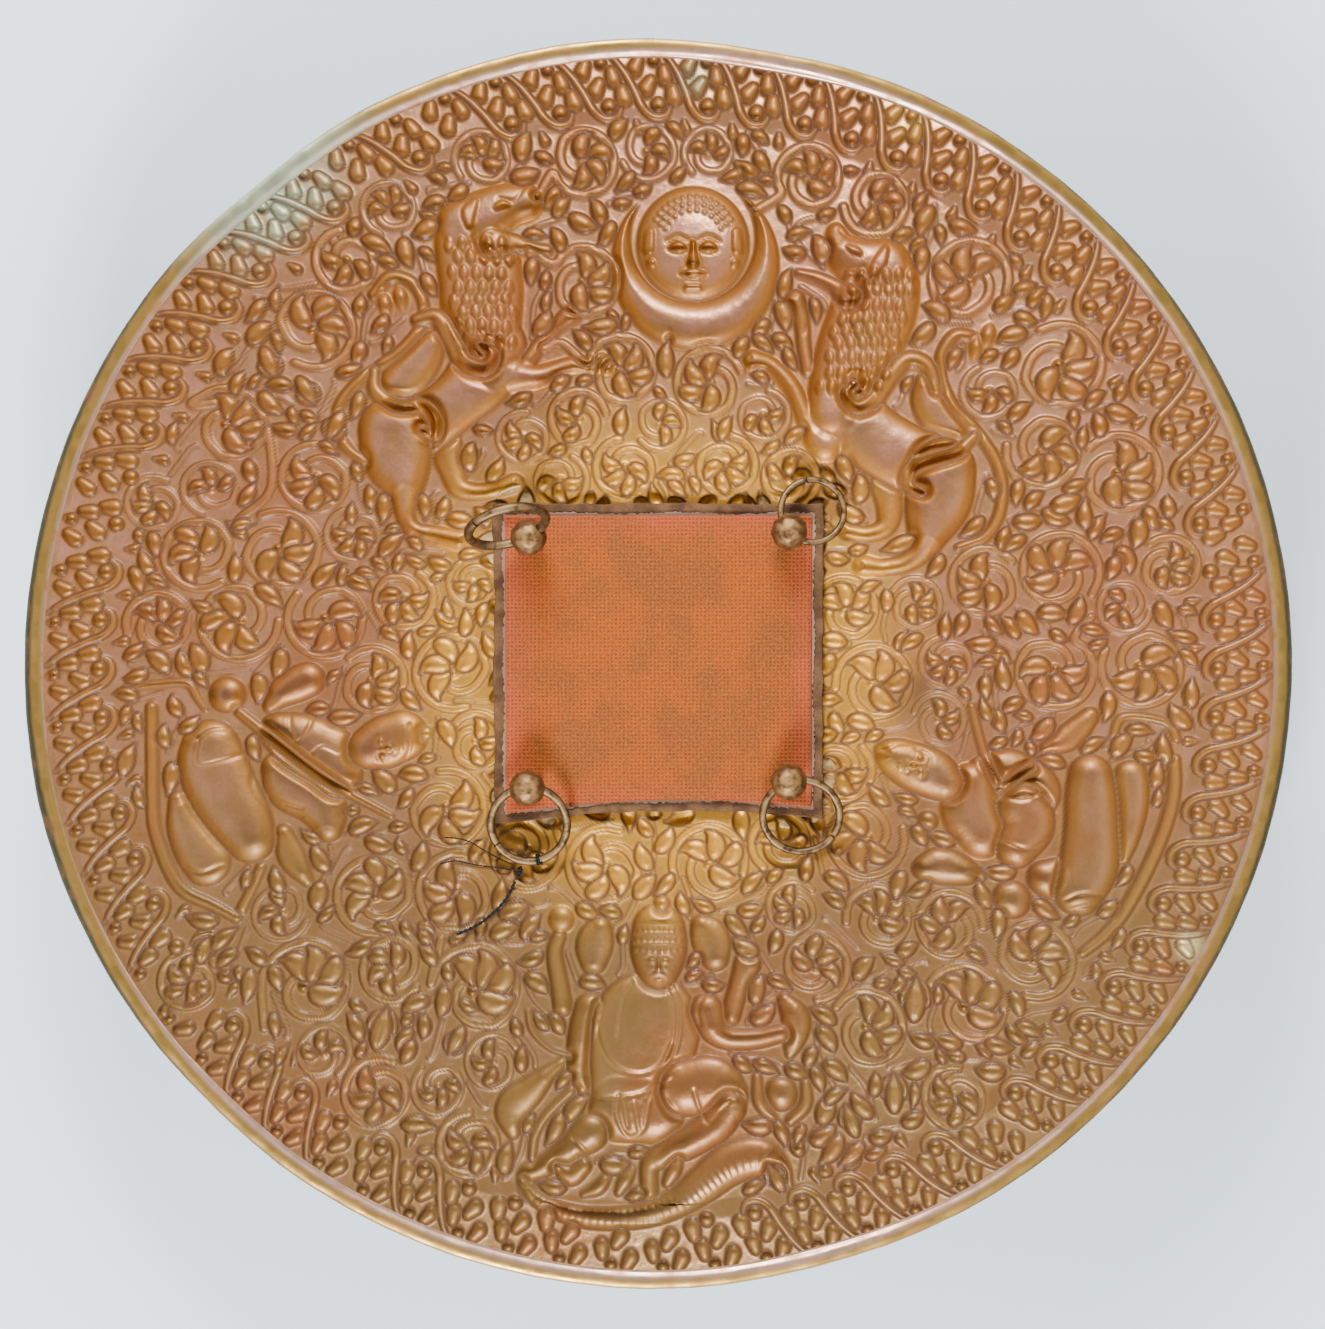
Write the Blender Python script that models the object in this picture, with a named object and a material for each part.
"""A dhal: a round shield of embossed sheet copper, lying on its bolts' ends with its hollow side up.

The sheet is a shallow bowl with a raised border and a flat turned edge. Two lions, a crescent with a
disc, and three seated archers are pressed into it from the hollow side, so they stand out below.
A red pad on a leather backing sits in the middle. Four ball-headed bolts go through pad, leather,
sheet and boss, are riveted over below, and each holds a loose wire ring. A thread is tied to one ring.
"""

import math

import bmesh
import bpy
import numpy as np
from mathutils import Matrix, Vector

MM = 0.001

# Sheet: a spherical bowl, a narrow step, a sloping border and a flat edge
SHEET = 1.2 * MM
BOWL_CURVE = 560 * MM
FIELD_RADIUS = 243 * MM
STEP_WIDTH = 7 * MM
STEP_SLOPE = math.radians(12)
BORDER_WIDTH = 22 * MM
BORDER_SLOPE = math.radians(30)
EDGE_WIDTH = 8 * MM
EDGE_SLOPE = math.radians(4)
OVALITY = 1.4 * MM
SEAT_RADIUS = 109 * MM

# Embossing
FIGURE_DEPTH = 6.5 * MM
EDGE_ROUNDING = 6 * MM
OUTLINE_WIDTH = 2.4 * MM
FLUTES = 72
FLUTE_DEPTH = 1.6 * MM
FLUTE_LEAN = math.radians(5)

# Pad and its leather backing
PAD_WIDTH = 152.5 * MM
PAD_HEIGHT = 146 * MM
PAD_PULLED_IN = 4.5 * MM
PAD_CORNER_DROP = 2.8 * MM
LEATHER = 2.4 * MM
LEATHER_MARGIN = 4.5 * MM
PAD_EDGE = 2.6 * MM
PAD_CROWN = 6 * MM
PAD_CELLS = 7

# Bolts, bosses and rings
BALL_RADIUS = 8.6 * MM
BALL_SEAT = 0.9
SHANK_RADIUS = 2.6 * MM
HEAD_RADIUS = 5 * MM
HEAD_HEIGHT = 2.2 * MM
BOSS_RADIUS = 22 * MM
BOSS_HEIGHT = 13 * MM
GAP = 0.35 * MM
SEAT_GAP = 0.8 * MM
BALL_GAP = 1.4 * MM
RING_CLEARANCE = 0.5 * MM
REST_DEPTH = 0.35 * MM

# How far each bolt stands in from the pad's sides, across and up
BOLT_INSETS = {
    "upper_left": (15.15 * MM, 13.4 * MM),
    "upper_right": (14.75 * MM, 10.8 * MM),
    "lower_left": (14.15 * MM, 14.0 * MM),
    "lower_right": (14.65 * MM, 16.9 * MM),
}

# The rings: outer diameter, wire, direction from the bolt in plan, lift above the horizontal (none if the
# ring lies on the sheet), roll about the line from the bolt to its middle, place and width of its joint
RINGS = {
    "upper_left": {
        "outer": 39.5 * MM, "wire": 4.3 * MM, "way": 150, "lift": 53, "roll": -39, "joint": 20,
        "open": 0.5 * MM,
    },
    "upper_right": {
        "outer": 32.5 * MM, "wire": 3.0 * MM, "way": 41, "lift": None, "roll": 0, "joint": 60,
        "open": 0.5 * MM,
    },
    "lower_left": {
        "outer": 39.5 * MM, "wire": 3.8 * MM, "way": -88, "lift": None, "roll": 0, "joint": -60,
        "open": 0.5 * MM,
    },
    "lower_right": {
        "outer": 38.8 * MM, "wire": 3.6 * MM, "way": -70, "lift": None, "roll": 0, "joint": 37,
        "open": 1.1 * MM,
    },
}
RING_STEPS = 20
WIRE_SIDES = 6

# Thread tied round the lower left ring; its places are in millimetres on the plan, from that ring's bolt
TAIL_WIDTH = 1.6 * MM
THREAD_WIDTH = 0.8 * MM
KNOT_LENGTH = 5.4 * MM
KNOT_WIDTH = 3.2 * MM
KNOT_PLACE = (-2.5, -38.2)
THREADS = {
    "thread_tail": (TAIL_WIDTH, [
        (-4.3, -42.6), (-6.3, -46.8), (-9.1, -51.4), (-13.3, -55.9), (-18.1, -59.9), (-24.5, -63.6),
        (-31.1, -66),
    ]),
    "thread_end_lower": (THREAD_WIDTH, [
        (-6.2, -37.4), (-11.9, -36.2), (-18.9, -35.4), (-25.9, -34), (-31.9, -32.8), (-38.9, -34),
    ]),
    "thread_end_upper": (THREAD_WIDTH, [
        (-5.5, -34.9), (-10.4, -32.8), (-15.1, -30.2), (-19.9, -27.4), (-24.9, -24.4), (-30.4, -22.6),
        (-36.9, -22),
    ]),
}

# The figures are drawn in millimetres on a field of this radius. Each stroke is a depth as a share of
# FIGURE_DEPTH, then the points that the tool passed through, each with the stroke's half width there.
DRAWN_FIELD = 243.0

LEFT_LION = {
    "body": (1.0, [(-116, 105, 14), (-103, 112, 13), (-90, 121, 13), (-81, 130, 13.5), (-77, 142, 15)]),
    "mane": (1.1, [(-77, 144, 13), (-79, 158, 16), (-80, 172, 17), (-82, 186, 16.5), (-86, 197, 12)]),
    "head": (1.0, [(-84, 199, 9), (-76, 199, 11), (-67, 204, 8), (-60, 209, 5)]),
    "jaw": (0.6, [(-70, 189, 6), (-62, 190, 3.5), (-54, 191, 2)]),
    "raised paw": (0.7, [(-60, 138, 4), (-54, 146, 3.5), (-47, 153, 3.5), (-40, 159, 4.5)]),
    "front paw": (0.8, [(-66, 129, 8), (-52, 130, 5), (-38, 135, 3.6), (-27, 136, 4.6)]),
    "far leg": (0.8, [(-95, 102, 8), (-94, 93, 6.5), (-93, 84, 5.5), (-86, 79.5, 3.8), (-72, 82, 4.4)]),
    "thigh": (1.15, [(-121, 104, 16), (-119, 93, 14), (-115, 80, 7), (-115, 69, 4)]),
    "foot": (0.8, [(-115, 66, 4), (-112, 61, 3.6), (-102, 59, 3.2), (-93, 57, 5)]),
    "shoulder scroll": (0.9, [
        (-107, 157, 2.6), (-99, 156, 3.6), (-94, 146, 4), (-86, 137, 4), (-77, 138, 3.6),
        (-76, 145, 2.6),
    ]),
    "hip scroll": (0.9, [
        (-127, 133, 2.6), (-125, 123, 3.2), (-115, 118, 3.4), (-105, 115, 3.2), (-101, 106, 3.2),
        (-106, 103, 2.6),
    ]),
    "tail": (0.7, [
        (-134, 95, 3), (-143, 101, 2.6), (-146, 112, 2.6), (-136, 129, 2.4), (-116, 144, 2.4),
        (-106, 158, 2.4), (-109, 171, 2.6), (-120, 174, 2.6), (-128, 165, 3.4),
    ]),
}

RIGHT_LION = {
    "body": (1.0, [(126, 92, 13), (112, 95, 14), (98, 103, 14), (87, 114, 14), (85, 125, 14)]),
    "mane": (1.1, [
        (80, 113, 10), (84, 126, 14), (90, 141, 17), (95, 155, 18), (98, 168, 19), (100, 179, 14),
    ]),
    "head": (1.0, [(98, 180, 10), (89, 181, 11), (83, 187, 8), (80, 197, 4)]),
    "jaw": (0.6, [(84, 168, 6), (80, 174, 2.6), (71, 176, 3), (61, 179, 1.6)]),
    "raised paw": (0.7, [(69, 135, 3.4), (69, 146, 3.6), (66, 156, 3.8), (61, 163, 4.8)]),
    "front paw": (0.8, [(70, 105, 4), (65, 116, 4), (59, 127, 3.6), (51, 136, 3.4), (42, 138, 4.4)]),
    "far leg": (0.8, [(103, 84, 8), (103, 74, 6.5), (104, 64, 5), (96, 61, 3.4), (87, 63, 3.4)]),
    "thigh": (1.15, [(129, 89, 14), (127, 76, 13), (122, 63, 8), (119, 53, 5)]),
    "foot": (0.8, [(119, 54, 4.6), (114, 46, 4), (104, 44, 4), (97, 44, 5.4)]),
    "shoulder scroll": (0.9, [
        (127, 127, 2.6), (124, 136, 3.4), (114, 137, 4), (107, 127, 4), (98, 119, 4), (89, 121, 3.4),
        (89, 129, 2.6),
    ]),
    "hip scroll": (0.9, [
        (142, 105, 2.6), (133, 97, 3.4), (122, 95, 3.4), (116, 87, 3.2), (121, 81, 3), (124, 86, 2.4),
    ]),
    "tail": (0.7, [
        (144, 68, 2.4), (153, 77, 2.6), (154, 92, 2.6), (144, 107, 2.4), (133, 118, 2.4),
        (128, 134, 2.6), (133, 147, 2.8), (143, 147, 3), (145, 137, 3.6),
    ]),
}

LEFT_ARCHER = {
    "far thigh": (0.7, [(-217, -60, 4), (-214, -72, 7.5), (-209, -82, 9.5), (-204, -89, 10)]),
    "shin": (0.6, [(-180.8, -92, 2.4), (-191, -114, 2.6), (-204, -125, 6)]),
    "belly": (0.95, [(-173, -48, 8), (-167, -55, 12), (-157, -61, 12), (-152, -69, 9), (-151, -75, 6.5)]),
    "chest": (1.0, [(-173, -31, 9), (-163, -36, 13), (-151, -43, 14), (-146, -52, 10)]),
    "upper arm": (0.85, [(-177, -19, 3.2), (-172, -13.5, 6.2), (-165, -9.5, 8), (-160.5, -7.5, 8)]),
    "thigh": (1.1, [
        (-203, -37, 12.5), (-202, -45, 15), (-197, -57, 15), (-190, -69, 13.5), (-185, -79, 10.5),
    ]),
    "head": (1.0, [(-133, -39.5, 9.5), (-126, -37, 12), (-118, -34, 11.5)]),
    "topknot": (0.5, [(-107, -33, 3.2)]),
    "mace ball": (0.85, [(-195.6, -13.4, 8)]),
    "mace handle": (0.85, [
        (-190.5, -21.5, 2.2), (-175.5, -34.5, 2.6), (-152.5, -53, 2.6), (-123, -70.5, 1.8),
    ]),
    "bow": (0.7, [
        (-228.3, -18, 2.8), (-228, -45, 2.8), (-225, -78, 2.8), (-213, -101, 2.8), (-191, -114, 2.6),
    ]),
    "bow tip": (0.6, [(-238.8, -8.5, 2.4), (-224.6, -7.5, 2.4), (-213, -7.7, 2.2), (-205.3, -19.7, 1.6)]),
}

RIGHT_ARCHER = {
    "far thigh": (0.7, [(213.7, -49.8, 7.3), (214.3, -62, 6.5), (212.4, -75.4, 5), (209.8, -86.3, 3)]),
    "sleeve": (0.6, [(176.6, -38.5, 3), (187, -32.6, 6), (196, -23, 4)]),
    "shoulders": (0.95, [(150, -50, 8), (160, -52, 13), (170, -58, 13)]),
    "chest": (0.95, [(143, -56, 10), (142, -68, 12.5), (148, -78, 11)]),
    "belly": (1.0, [(166, -66, 11), (169, -73, 11.5), (163, -84, 9)]),
    "elbow": (0.8, [(161, -107, 8.5)]),
    "near arm": (0.85, [(122.5, -94.4, 6), (129.7, -93, 8.5), (138.8, -95, 6.5), (147.3, -97.4, 2.6)]),
    "hip": (0.9, [(176, -97, 8), (188, -98, 12)]),
    "thigh": (1.1, [
        (196, -50, 9.5), (196, -60, 11), (196, -73, 11.5), (194.8, -90.5, 12.5), (190, -102.6, 10.5),
    ]),
    "head": (1.0, [(103, -41, 3.5), (109, -44, 8.5), (117, -48, 11), (126, -51.5, 11), (131, -55, 8.5)]),
    "arrow": (0.7, [(143.4, -20, 2), (149.2, -41.6, 2.2), (155.7, -57.5, 2.2)]),
    "bow": (0.7, [
        (231.9, -41.4, 3), (229.3, -67, 3), (217, -97, 3), (209, -111.6, 2.9), (191.5, -129.5, 2.4),
    ]),
    "bow tip": (0.6, [(233.2, -32, 2), (228.6, -24.7, 2), (210.4, -23, 2), (203.3, -36.7, 1.8)]),
}

LOWER_ARCHER = {
    "left side face": (0.7, [(-30, -124, 8), (-29, -134, 8.5)]),
    "right side face": (0.7, [(24, -124, 8), (23, -134, 8.5)]),
    "hips": (0.95, [(-22, -202, 14), (0, -203, 14)]),
    "torso": (0.95, [(-21, -166, 17), (7, -166, 17)]),
    "waist": (1.0, [(-20, -188, 18), (4, -188, 19)]),
    "forearm": (0.85, [(22, -160, 7.5), (25, -168, 6), (32, -172, 5), (44, -172, 4.6), (56, -169.5, 4)]),
    "raised arm": (0.8, [(34, -164, 4), (36, -153, 4.2), (40, -141, 6)]),
    "conch": (0.8, [(59, -154, 4), (64, -165, 6), (62, -177, 4)]),
    "quiver": (0.8, [(-47, -183, 3), (-60, -194, 9), (-66, -208, 4)]),
    "left leg": (0.85, [
        (-31, -213, 8), (-42, -221, 5.6), (-52, -227, 4.6), (-60, -231, 4.2), (-59, -239, 3.6),
    ]),
    "right thigh": (1.05, [(6, -192, 14), (24, -191, 14), (31, -196, 10)]),
    "right shin": (0.9, [
        (33, -202, 7), (26, -210, 7.4), (14, -217, 6.8), (2, -223, 5.4), (-4, -240, 3.8),
    ]),
    "bow": (0.9, [
        (-52, -235, 3), (-42, -246, 5), (-15, -250, 5), (8, -245, 6), (25, -231, 8), (42, -224, 8),
        (54, -229, 5), (58, -236, 2),
    ]),
    "head": (1.15, [(0, -126, 12.5), (0, -135, 12)]),
    "topknot": (0.8, [(2, -111, 4)]),
    "left hand": (0.6, [(-45, -158, 4), (-43, -148, 4), (-47, -121, 5)]),
}

CRESCENT_CENTRE = (16.5, 180.5)
CRESCENT_RADIUS = 37.5
DISC_CENTRE = (15.5, 190)
DISC_RADIUS = 25.0
DISC_DEPTH = 0.85
DISC_RIM = 3.0

# Working resolution of the embossing
PRESS_PITCH = 1 * MM
CARVED_RINGS = 56
CARVED_STEPS = 360
CARVED_TRIANGLES = 2440
SEAT_RINGS = 6
FADE = 2 * MM


def clear_scene():
    for obj in list(bpy.data.objects):
        bpy.data.objects.remove(obj)


def material(name, colour, roughness, metallic):
    made = bpy.data.materials.new(name)
    made.use_nodes = True
    shader = made.node_tree.nodes["Principled BSDF"]
    shader.inputs["Base Color"].default_value = (*colour, 1.0)
    shader.inputs["Roughness"].default_value = roughness
    shader.inputs["Metallic"].default_value = metallic
    return made


def add_object(name, mesh, finish, smooth=True):
    obj = bpy.data.objects.new(name, mesh)
    bpy.context.scene.collection.objects.link(obj)
    mesh.materials.append(finish)
    if smooth:
        mesh.shade_smooth()
        mesh.set_sharp_from_angle(angle=math.radians(40))
    return obj


def mesh_from(name, shape):
    mesh = bpy.data.meshes.new(name)
    shape.to_mesh(mesh)
    shape.free()
    return mesh


# Bowl


def bowl_height(radius):
    """Height of the middle of the sheet above its lowest point, at a distance from its axis."""
    radius = np.asarray(radius, float)
    field = np.minimum(radius, FIELD_RADIUS)
    step = np.clip(radius - FIELD_RADIUS, 0, STEP_WIDTH)
    border = np.clip(radius - FIELD_RADIUS - STEP_WIDTH, 0, BORDER_WIDTH)
    edge = np.maximum(radius - FIELD_RADIUS - STEP_WIDTH - BORDER_WIDTH, 0)
    return (
        BOWL_CURVE
        - np.sqrt(BOWL_CURVE**2 - field**2)
        + step * math.tan(STEP_SLOPE)
        + border * math.tan(BORDER_SLOPE)
        + edge * math.tan(EDGE_SLOPE)
    )


def bowl_slope(radius):
    """The sheet's slope at a distance from its axis, in radians."""
    radius = np.asarray(radius, float)
    return np.select(
        [
            radius <= FIELD_RADIUS,
            radius <= FIELD_RADIUS + STEP_WIDTH,
            radius <= FIELD_RADIUS + STEP_WIDTH + BORDER_WIDTH,
        ],
        [np.arcsin(np.minimum(radius, FIELD_RADIUS) / BOWL_CURVE), STEP_SLOPE, BORDER_SLOPE],
        EDGE_SLOPE,
    )


def oval(angle):
    """How far the hand-trimmed outline departs from a circle."""
    return OVALITY * np.cos(2 * angle)


def up_from_sheet(x, y):
    """Unit vectors square to the bowl, pointing to its hollow side."""
    radius = np.hypot(x, y)
    slope = bowl_slope(radius)
    inward = -np.sin(slope) / np.maximum(radius, 1e-9)
    return np.stack([x * inward, y * inward, np.cos(slope)], axis=-1)


def sheet_point(x, y, above):
    """A point this far above the middle of the sheet, square to it."""
    radius = np.hypot(x, y)
    base = np.stack([x, y, bowl_height(radius) + FLOOR_TO_SHEET], axis=-1)
    return base + up_from_sheet(x, y) * np.asarray(above)[..., None]


def bolt_place(corner):
    """A bolt's place on the plan, in from the pad's corner that it is named after."""
    across, up = BOLT_INSETS[corner]
    x = PAD_WIDTH / 2 - across
    y = PAD_HEIGHT / 2 - up
    return (x if "right" in corner else -x), (y if "upper" in corner else -y)


def lift_over_bolt(corner):
    """Height of the sheet's lowest point that sets this bolt's riveted end on the floor."""
    reach = math.hypot(*bolt_place(corner))
    return UNDER_BOLT * math.cos(math.asin(reach / BOWL_CURVE)) - float(bowl_height(reach))


# The bolts stand square to the bowl, and their ends, cut level, are what the shield rests on.
UNDER_BOLT = SHEET / 2 + GAP + BOSS_HEIGHT + GAP + HEAD_HEIGHT
FLOOR_TO_SHEET = min(lift_over_bolt(corner) for corner in BOLT_INSETS) - REST_DEPTH


# Embossing


def smooth_path(points, step):
    """Points a step apart on a smooth curve through the given ones; all their numbers are blended."""
    points = np.asarray(points, float)
    if len(points) == 1:
        return points
    ends = np.vstack([2 * points[0] - points[1], points, 2 * points[-1] - points[-2]])
    found = []
    for a, b, c, d in zip(ends, ends[1:], ends[2:], ends[3:]):
        count = max(2, math.ceil(np.linalg.norm((c - b)[:2]) / step))
        t = np.arange(count)[:, None] / count
        found.append(
            0.5 * (2 * b + (c - a) * t + (2 * a - 5 * b + 4 * c - d) * t**2 + (3 * b - a - 3 * c + d) * t**3)
        )
    found.append(points[-1:])
    return np.vstack(found)


def press_tool(edge_distance, half_width, rounding):
    """How deep a round-edged tool presses, as a share of its full depth, this far inside its outline."""
    near = np.clip(edge_distance / np.minimum(half_width, rounding), 0, 1)
    across = np.clip(edge_distance / half_width, 0, 1)
    return 0.72 * np.sqrt(1 - (1 - near) ** 2) + 0.28 * np.sqrt(1 - (1 - across) ** 2)


class Embossing:
    """Depth of the pressed work over the plan of the field, held on a square grid."""

    def __init__(self):
        self.half = math.ceil(FIELD_RADIUS / PRESS_PITCH) + 2
        line = np.arange(-self.half, self.half + 1) * PRESS_PITCH
        self.x, self.y = np.meshgrid(line, line, indexing="ij")
        self.depth = np.zeros_like(self.x)

    def stroke(self, depth, points):
        scale = FIELD_RADIUS / DRAWN_FIELD
        path = smooth_path(points, 2.0) * scale
        reach = path[:, 2].max() + 3 * OUTLINE_WIDTH
        low = np.floor((path[:, :2].min(0) - reach) / PRESS_PITCH).astype(int) + self.half
        high = np.ceil((path[:, :2].max(0) + reach) / PRESS_PITCH).astype(int) + self.half
        low = np.maximum(low, 0)
        window = (slice(low[0], high[0] + 1), slice(low[1], high[1] + 1))
        x, y = self.x[window], self.y[window]
        inside = np.full(x.shape, -1.0)
        width = np.full(x.shape, path[0, 2])
        for px, py, half_width in path:
            distance = half_width - np.hypot(x - px, y - py)
            nearer = distance > inside
            inside = np.where(nearer, distance, inside)
            width = np.where(nearer, half_width, width)
        share = press_tool(np.maximum(inside, 0), width, EDGE_ROUNDING) * depth
        self.outline_and_press(window, inside, share)

    def outline_and_press(self, window, inside, share):
        """The outline lifts what is under it; then the form is pressed."""
        lifted = self.depth[window] * (1 - 0.7 * np.exp(-((inside / OUTLINE_WIDTH) ** 2)))
        self.depth[window] = np.maximum(lifted, share * FIGURE_DEPTH)

    def crescent_and_disc(self):
        scale = FIELD_RADIUS / DRAWN_FIELD
        whole = (slice(None), slice(None))
        to_crescent = np.hypot(self.x - CRESCENT_CENTRE[0] * scale, self.y - CRESCENT_CENTRE[1] * scale)
        to_disc = np.hypot(self.x - DISC_CENTRE[0] * scale, self.y - DISC_CENTRE[1] * scale)
        outer = CRESCENT_RADIUS * scale - to_crescent
        horn = np.minimum(outer, to_disc - DISC_RADIUS * scale)
        width = np.full(self.x.shape, (CRESCENT_RADIUS - DISC_RADIUS) * scale)
        self.outline_and_press(whole, horn, press_tool(np.maximum(horn, 0), width, EDGE_ROUNDING))
        face = (DISC_RADIUS - DISC_RIM) * scale - to_disc
        radius = np.full(self.x.shape, DISC_RADIUS * scale)
        share = press_tool(np.maximum(face, 0), radius, EDGE_ROUNDING) * DISC_DEPTH
        self.outline_and_press(whole, face, share)

    def at(self, x, y):
        """Depth at a place on the plan, between the grid's points."""
        u = np.clip(x / PRESS_PITCH + self.half, 0, 2 * self.half - 1e-6)
        v = np.clip(y / PRESS_PITCH + self.half, 0, 2 * self.half - 1e-6)
        i, j = u.astype(int), v.astype(int)
        s, t = u - i, v - j
        d = self.depth
        return (
            d[i, j] * (1 - s) * (1 - t)
            + d[i + 1, j] * s * (1 - t)
            + d[i, j + 1] * (1 - s) * t
            + d[i + 1, j + 1] * s * t
        )


def emboss_figures():
    work = Embossing()
    for figure in (LEFT_LION, RIGHT_LION, LEFT_ARCHER, RIGHT_ARCHER, LOWER_ARCHER):
        for depth, points in figure.values():
            work.stroke(depth, points)
    work.crescent_and_disc()
    return work


# Sheet


def flute_depth(radius, angle):
    """Depth of the border's slanting flutes, with a lean that grows towards the edge."""
    across = np.clip((radius - FIELD_RADIUS - STEP_WIDTH) / BORDER_WIDTH, 0, 1)
    turn = angle - FLUTE_LEAN * across
    swell = np.sin(np.pi * np.clip((radius - FIELD_RADIUS) / (STEP_WIDTH + BORDER_WIDTH), 0, 1)) ** 0.5
    return FLUTE_DEPTH * swell * (0.5 + 0.5 * np.cos(FLUTES * turn))


def hollow_surface():
    """The sheet's upper face as a fine polar grid, then thinned out where it is plain."""
    work = emboss_figures()
    edge_start = FIELD_RADIUS + STEP_WIDTH + BORDER_WIDTH
    radii = np.concatenate(
        [
            np.linspace(0, SEAT_RADIUS, SEAT_RINGS, endpoint=False)[1:],
            np.linspace(SEAT_RADIUS, FIELD_RADIUS, CARVED_RINGS, endpoint=False),
            np.linspace(FIELD_RADIUS, FIELD_RADIUS + STEP_WIDTH, 2, endpoint=False),
            np.linspace(FIELD_RADIUS + STEP_WIDTH, edge_start, 5),
            [edge_start + EDGE_WIDTH],
        ]
    )
    angles = np.arange(CARVED_STEPS) * 2 * math.pi / CARVED_STEPS
    radius, angle = np.meshgrid(radii, angles, indexing="ij")
    trimmed = radius + oval(angle) * np.clip((radius - SEAT_RADIUS) / (FIELD_RADIUS - SEAT_RADIUS), 0, 1)
    x, y = trimmed * np.cos(angle), trimmed * np.sin(angle)
    fade = np.clip((FIELD_RADIUS - radius) / FADE, 0, 1) * np.clip((radius - SEAT_RADIUS) / FADE, 0, 1)
    depth = work.at(x, y) * fade + flute_depth(radius, angle)
    points = sheet_point(x, y, SHEET / 2 - depth).reshape(-1, 3)
    middle = sheet_point(np.float64(0.0), np.float64(0.0), np.float64(SHEET / 2))
    last = len(points)
    faces = [(last, j, (j + 1) % CARVED_STEPS) for j in range(CARVED_STEPS)]
    for i in range(len(radii) - 1):
        for j in range(CARVED_STEPS):
            k = (j + 1) % CARVED_STEPS
            row, after = i * CARVED_STEPS, (i + 1) * CARVED_STEPS
            faces.append((row + j, after + j, after + k, row + k))
    mesh = bpy.data.meshes.new("carved")
    mesh.from_pydata(np.vstack([points, middle]).tolist(), [], faces)
    guide = bpy.data.objects.new("carved_guide", mesh)
    bpy.context.scene.collection.objects.link(guide)
    thin = guide.modifiers.new("thin", "DECIMATE")
    thin.ratio = CARVED_TRIANGLES / (2 * len(faces))
    graph = bpy.context.evaluated_depsgraph_get()
    shape = bmesh.new()
    shape.from_mesh(guide.evaluated_get(graph).to_mesh())
    bpy.data.objects.remove(guide)
    return shape


def thicken(shape):
    """Gives the hollow-side surface its sheet thickness, square to the bowl."""
    bmesh.ops.triangulate(shape, faces=shape.faces)
    bmesh.ops.recalc_face_normals(shape, faces=shape.faces)
    if sum(face.normal.z * face.calc_area() for face in shape.faces) < 0:
        bmesh.ops.reverse_faces(shape, faces=shape.faces)
    upper = list(shape.verts)
    upper_faces = list(shape.faces)
    rim = [edge for edge in shape.edges if edge.is_boundary]
    lower = {}
    for vert in upper:
        up = Vector(up_from_sheet(np.float64(vert.co.x), np.float64(vert.co.y)))
        lower[vert] = shape.verts.new(vert.co - up * SHEET)
    for edge in rim:
        face = edge.link_faces[0]
        loop = next(loop for loop in face.loops if loop.edge == edge)
        a, b = loop.vert, loop.link_loop_next.vert
        shape.faces.new((b, a, lower[a], lower[b]))
    for face in upper_faces:
        shape.faces.new([lower[vert] for vert in reversed(face.verts)])


def make_sheet(finish):
    shape = hollow_surface()
    thicken(shape)
    return add_object("shield_plate", mesh_from("shield_plate", shape), finish)


# Pad


def pad_outline(u, v, margin):
    """A place on the pad from -1 to 1 each way: a hand-cut square, its lower edge drawn in."""
    lower = np.maximum(-v, 0) ** 3
    x = u * (PAD_WIDTH / 2 - margin)
    y = v * (PAD_HEIGHT / 2 - margin)
    return x, y + lower * (PAD_PULLED_IN * (1 - u**2) - PAD_CORNER_DROP * (1 - u) / 2)


def add_slab(name, margin, bottom, top, finish):
    """A cloth or leather square lying in the bowl, between two heights above the sheet's upper face."""
    line = np.linspace(-1, 1, PAD_CELLS + 1)
    u, v = np.meshgrid(line, line, indexing="ij")
    x, y = pad_outline(u, v, margin)
    side = PAD_CELLS + 1
    layers = [
        sheet_point(x, y, SHEET / 2 + np.broadcast_to(height(u, v), u.shape)).reshape(-1, 3)
        for height in (bottom, top)
    ]
    shape = bmesh.new()
    under, over = ([shape.verts.new(p) for p in layer] for layer in layers)
    for i in range(PAD_CELLS):
        for j in range(PAD_CELLS):
            a, b = i * side + j, (i + 1) * side + j
            shape.faces.new((over[a], over[b], over[b + 1], over[a + 1]))
            shape.faces.new((under[a], under[a + 1], under[b + 1], under[b]))
    border = (
        [i * side for i in range(PAD_CELLS)]
        + [PAD_CELLS * side + j for j in range(PAD_CELLS)]
        + [i * side + PAD_CELLS for i in range(PAD_CELLS, 0, -1)]
        + [j for j in range(PAD_CELLS, 0, -1)]
    )
    for a, b in zip(border, border[1:] + border[:1]):
        shape.faces.new((under[a], under[b], over[b], over[a]))
    return add_object(name, mesh_from(name, shape), finish)


def leather_top(u, v):
    return np.full(np.shape(u), SEAT_GAP + LEATHER)


def pad_top(u, v):
    crown = (1 - np.abs(u) ** 3) * (1 - np.abs(v) ** 3)
    return SEAT_GAP + LEATHER + GAP + PAD_EDGE + PAD_CROWN * crown


# Bolts and bosses


def bolt_frame(corner):
    """Matrix from a bolt's own frame, Z square to the bowl with zero at the middle of the sheet."""
    x, y = bolt_place(corner)
    base = sheet_point(np.float64(x), np.float64(y), np.float64(0.0))
    up = Vector(up_from_sheet(np.float64(x), np.float64(y)))
    across = Vector((-y, x, 0)).normalized()
    turn = Matrix((across, up.cross(across), up)).transposed()
    return Matrix.Translation(Vector(base)) @ turn.to_4x4()


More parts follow.
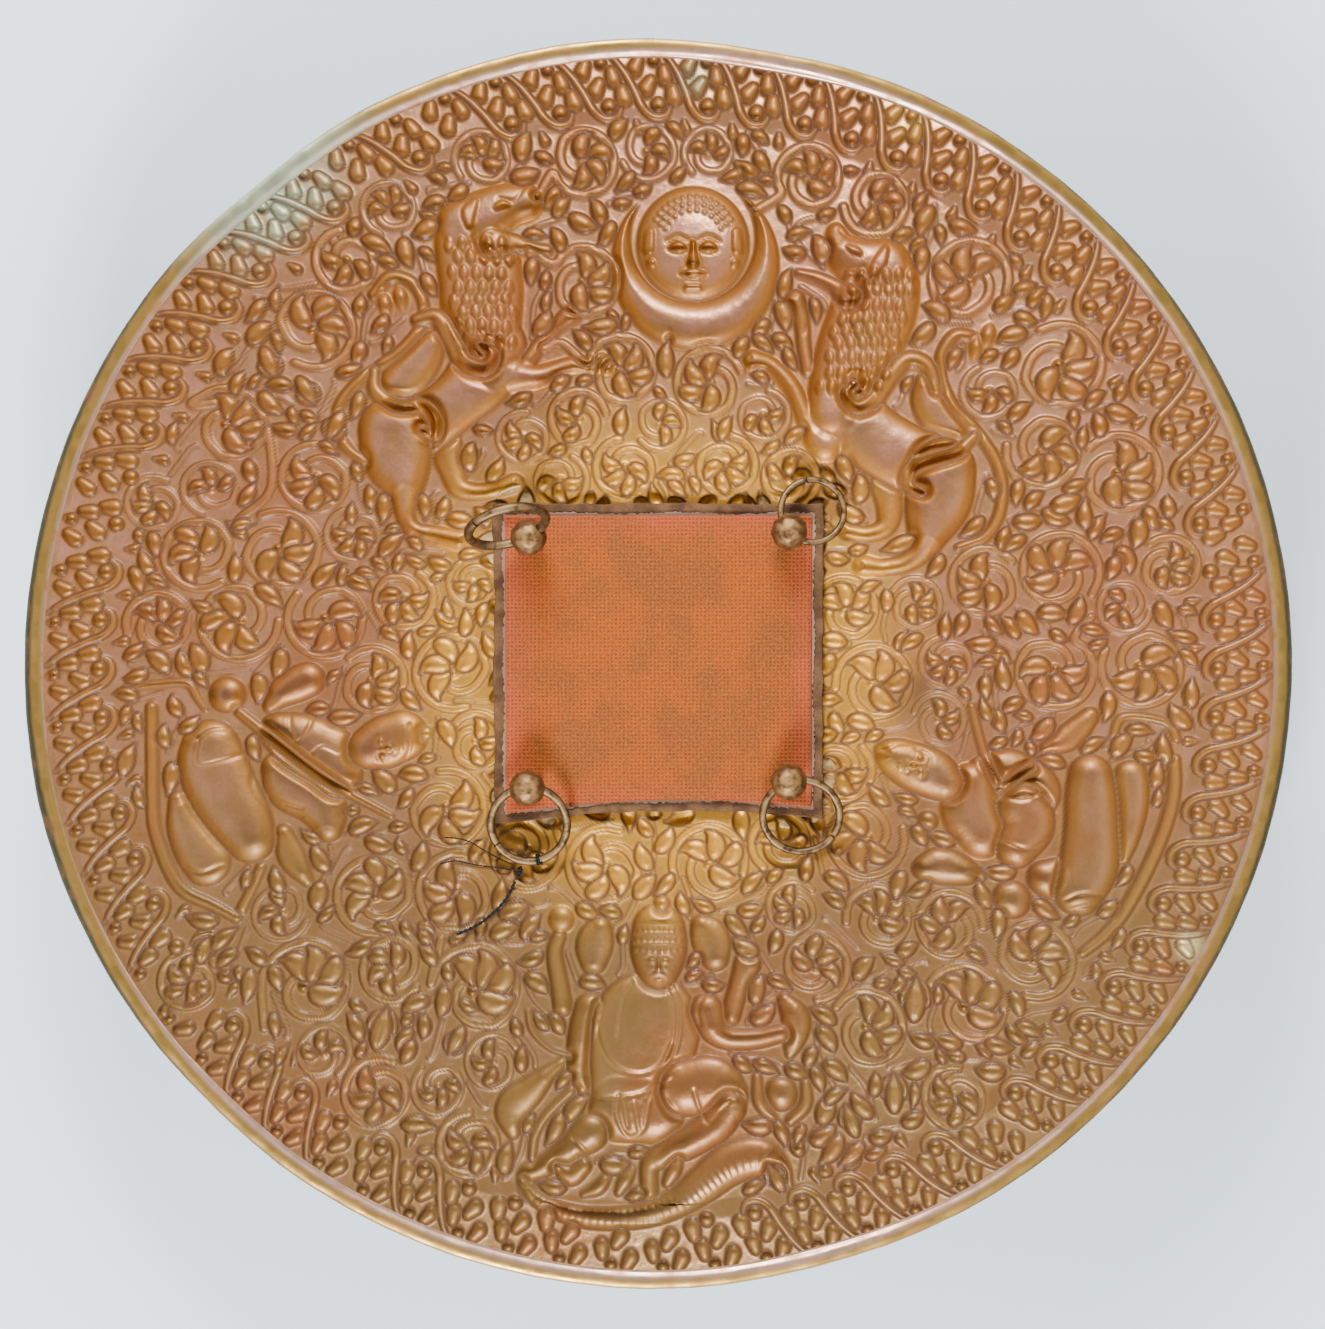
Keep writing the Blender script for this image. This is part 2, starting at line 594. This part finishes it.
def turned(profile, steps):
    """A solid of revolution about Z from (radius, height) pairs, from the bottom up."""
    shape = bmesh.new()
    verts = [shape.verts.new((radius, 0, height)) for radius, height in profile]
    edges = [shape.edges.new(pair) for pair in zip(verts, verts[1:])]
    bmesh.ops.spin(
        shape,
        geom=verts + edges,
        axis=(0, 0, 1),
        cent=(0, 0, 0),
        angle=2 * math.pi,
        steps=steps,
        use_merge=True,
    )
    bmesh.ops.remove_doubles(shape, verts=shape.verts, dist=0.01 * MM)
    holes = [edge for edge in shape.edges if edge.is_boundary]
    if holes:
        bmesh.ops.holes_fill(shape, edges=holes)
    bmesh.ops.recalc_face_normals(shape, faces=shape.faces)
    return shape


def pad_top_at(x, y):
    """Height of the pad's top above the sheet's upper face."""
    return float(pad_top(x / (PAD_WIDTH / 2 - LEATHER_MARGIN), y / (PAD_HEIGHT / 2 - LEATHER_MARGIN)))


def ball_height(corner):
    """Height of a ball's centre above the middle of the sheet."""
    return SHEET / 2 + pad_top_at(*bolt_place(corner)) + BALL_GAP + BALL_SEAT * BALL_RADIUS


def ball_profile(corner):
    """The ball from its seat on the pad up to its pole."""
    seat = math.asin(BALL_SEAT)
    angles = [-seat, -seat / 2, 0, seat / 2, seat, math.pi / 2]
    centre = ball_height(corner)
    return [(BALL_RADIUS * math.cos(a), centre + BALL_RADIUS * math.sin(a)) for a in angles]


def add_bolt(corner, finish):
    under_boss = -(SHEET / 2 + GAP + BOSS_HEIGHT + GAP)
    profile = [
        (0, under_boss - HEAD_HEIGHT),
        (HEAD_RADIUS * 0.8, under_boss - HEAD_HEIGHT),
        (HEAD_RADIUS, under_boss),
        (SHANK_RADIUS, under_boss),
        (SHANK_RADIUS, ball_height(corner) - BALL_SEAT * BALL_RADIUS),
        *ball_profile(corner),
    ]
    shape = turned(profile, 12)
    bmesh.ops.transform(shape, matrix=bolt_frame(corner), verts=shape.verts)
    bmesh.ops.bisect_plane(
        shape,
        geom=shape.verts[:] + shape.edges[:] + shape.faces[:],
        plane_co=(0, 0, 0),
        plane_no=(0, 0, -1),
        clear_outer=True,
    )
    bmesh.ops.holes_fill(shape, edges=[edge for edge in shape.edges if edge.is_boundary])
    bmesh.ops.recalc_face_normals(shape, faces=shape.faces)
    return add_object(f"bolt_{corner}", mesh_from(f"bolt_{corner}", shape), finish)


def add_boss(corner, finish):
    foot = -(SHEET / 2 + GAP)
    angles = [math.radians(a) for a in (0, 22, 45, 68, 90)]
    dome = [(BOSS_RADIUS * math.cos(a), foot - BOSS_HEIGHT * math.sin(a)) for a in reversed(angles)]
    hole = SHANK_RADIUS + GAP
    profile = [(hole, foot), (hole, dome[0][1]), *dome[1:]]
    shape = bmesh.new()
    verts = [shape.verts.new((radius, 0, height)) for radius, height in profile]
    edges = [shape.edges.new(pair) for pair in zip(verts, verts[1:] + verts[:1])]
    bmesh.ops.spin(
        shape, geom=verts + edges, axis=(0, 0, 1), cent=(0, 0, 0), angle=2 * math.pi, steps=16, use_merge=True
    )
    bmesh.ops.remove_doubles(shape, verts=shape.verts, dist=0.01 * MM)
    bmesh.ops.recalc_face_normals(shape, faces=shape.faces)
    bmesh.ops.transform(shape, matrix=bolt_frame(corner), verts=shape.verts)
    return add_object(f"boss_{corner}", mesh_from(f"boss_{corner}", shape), finish)


def cut(obj, cutter):
    tool = obj.modifiers.new(f"cut_{cutter.name}", "BOOLEAN")
    tool.operation = "DIFFERENCE"
    tool.solver = "EXACT"
    tool.object = cutter


def hide(obj):
    obj.hide_render = True
    obj.display_type = "WIRE"
    return obj


def shank_cutter(corner, finish):
    radius = SHANK_RADIUS + GAP
    length = ball_height(corner) + BOSS_HEIGHT
    shape = turned([(0, -length), (radius, -length), (radius, length), (0, length)], 12)
    bmesh.ops.transform(shape, matrix=bolt_frame(corner), verts=shape.verts)
    name = f"shank_cutter_{corner}"
    return hide(add_object(name, mesh_from(name, shape), finish, smooth=False))


# Rings


def ball_centre(corner):
    return bolt_frame(corner) @ Vector((0, 0, ball_height(corner)))


def ring_lift(corner):
    """Angle of a ring above the horizontal: as found, or lying with its far side on the sheet."""
    ring = RINGS[corner]
    if ring["lift"] is not None:
        return math.radians(ring["lift"])
    reach = ring["outer"] - ring["wire"]
    way = math.radians(ring["way"])
    start = ball_centre(corner)
    lift = 0.0
    for _ in range(8):
        run = reach * math.cos(lift)
        far = start + Vector((math.cos(way), math.sin(way), 0)) * run
        sheet = sheet_point(np.float64(far.x), np.float64(far.y), np.float64(SHEET / 2))[2]
        lift = math.asin((sheet + ring["wire"] / 2 + 2 * GAP - start.z) / reach)
    return lift


def ring_frame(corner):
    """Matrix from a ring's own frame: origin at its middle, X away from the bolt, Z square to it."""
    ring = RINGS[corner]
    way, lift = math.radians(ring["way"]), ring_lift(corner)
    away = Vector((math.cos(way) * math.cos(lift), math.sin(way) * math.cos(lift), math.sin(lift)))
    across = Vector((-math.sin(way), math.cos(way), 0))
    turn = Matrix((away, across, away.cross(across))).transposed()
    roll = Matrix.Rotation(math.radians(ring["roll"]), 3, "X")
    centre = ball_centre(corner) + away * (ring["outer"] - ring["wire"]) / 2
    return Matrix.Translation(centre) @ (turn @ roll).to_4x4()


def bent_wire(corner, wire_radius, opening):
    """A ring of round wire bent from one end to the other, or closed if it has no opening."""
    ring = RINGS[corner]
    middle = (ring["outer"] - ring["wire"]) / 2
    shape = bmesh.new()
    bmesh.ops.create_circle(shape, segments=WIRE_SIDES, radius=wire_radius, cap_ends=opening > 0)
    bmesh.ops.rotate(shape, verts=shape.verts, cent=(0, 0, 0), matrix=Matrix.Rotation(math.pi / 2, 3, "X"))
    bmesh.ops.translate(shape, verts=shape.verts, vec=(middle, 0, 0))
    gap = opening / middle
    start = math.radians(ring["joint"]) + gap / 2
    bmesh.ops.rotate(shape, verts=shape.verts, cent=(0, 0, 0), matrix=Matrix.Rotation(start, 3, "Z"))
    bmesh.ops.spin(
        shape,
        geom=shape.verts[:] + shape.edges[:] + shape.faces[:],
        axis=(0, 0, 1),
        cent=(0, 0, 0),
        angle=2 * math.pi - gap,
        steps=RING_STEPS,
        use_merge=opening == 0,
    )
    bmesh.ops.remove_doubles(shape, verts=shape.verts, dist=0.01 * MM)
    bmesh.ops.recalc_face_normals(shape, faces=shape.faces)
    bmesh.ops.transform(shape, matrix=ring_frame(corner), verts=shape.verts)
    return shape


def add_ring(corner, finish):
    ring = RINGS[corner]
    shape = bent_wire(corner, ring["wire"] / 2, ring["open"])
    return add_object(f"ring_{corner}", mesh_from(f"ring_{corner}", shape), finish)


def ring_cutter(corner, finish):
    ring = RINGS[corner]
    shape = bent_wire(corner, ring["wire"] / 2 / math.cos(math.pi / WIRE_SIDES) + RING_CLEARANCE, 0)
    name = f"ring_cutter_{corner}"
    return hide(add_object(name, mesh_from(name, shape), finish, smooth=False))


# Thread


def lying_route(width, points):
    """A smooth route over these places on the plan, lying on the sheet with a point every few widths."""
    plan = smooth_path([(x, y, 0) for x, y in points], 3 * width / MM) * MM
    start_x, start_y = bolt_place("lower_left")
    return sheet_point(plan[:, 0] + start_x, plan[:, 1] + start_y, SHEET / 2 + GAP + width / 2)


def add_thread(name, finish):
    width, points = THREADS[name]
    route = lying_route(width, points)
    curve = bpy.data.curves.new(name, "CURVE")
    curve.dimensions = "3D"
    curve.bevel_depth = width / 2
    curve.bevel_resolution = 2
    curve.use_fill_caps = True
    spline = curve.splines.new("POLY")
    spline.points.add(len(route) - 1)
    for point, place in zip(spline.points, route):
        point.co = (*place, 1)
    obj = bpy.data.objects.new(name, curve)
    bpy.context.scene.collection.objects.link(obj)
    curve.materials.append(finish)
    return obj


def add_knot(finish):
    """The knot beside the ring: a small bead of thread, longer than it is wide."""
    shape = bmesh.new()
    bmesh.ops.create_uvsphere(shape, u_segments=10, v_segments=6, radius=0.5)
    start_x, start_y = bolt_place("lower_left")
    x, y = start_x + KNOT_PLACE[0] * MM, start_y + KNOT_PLACE[1] * MM
    base = Vector(sheet_point(np.float64(x), np.float64(y), np.float64(SHEET / 2 + GAP + KNOT_WIDTH / 2)))
    size = Matrix.Diagonal((KNOT_WIDTH, KNOT_LENGTH, KNOT_WIDTH, 1))
    bmesh.ops.transform(shape, matrix=Matrix.Translation(base) @ size, verts=shape.verts)
    return add_object("thread_knot", mesh_from("thread_knot", shape), finish)


def main():
    clear_scene()
    copper = material("embossed copper", (0.42, 0.17, 0.07), 0.35, 1.0)
    bronze = material("worn bronze", (0.23, 0.16, 0.09), 0.45, 1.0)
    iron = material("ring wire", (0.18, 0.14, 0.10), 0.45, 1.0)
    cloth = material("red cotton", (0.40, 0.11, 0.05), 0.95, 0.0)
    brown_hide = material("dark leather", (0.09, 0.06, 0.05), 0.8, 0.0)
    black_thread = material("black thread", (0.02, 0.02, 0.02), 0.9, 0.0)

    plate = make_sheet(copper)
    leather = add_slab("leather_backing", 0.0, lambda u, v: SEAT_GAP, leather_top, brown_hide)
    cushion = add_slab(
        "cloth_pad", LEATHER_MARGIN, lambda u, v: SEAT_GAP + LEATHER + GAP, pad_top, cloth
    )
    for corner in BOLT_INSETS:
        shank = shank_cutter(corner, iron)
        for layer in (plate, leather, cushion):
            cut(layer, shank)
        add_boss(corner, bronze)
        cut(add_bolt(corner, bronze), ring_cutter(corner, iron))
        add_ring(corner, iron)
    add_knot(black_thread)
    for name in THREADS:
        add_thread(name, black_thread)


main()
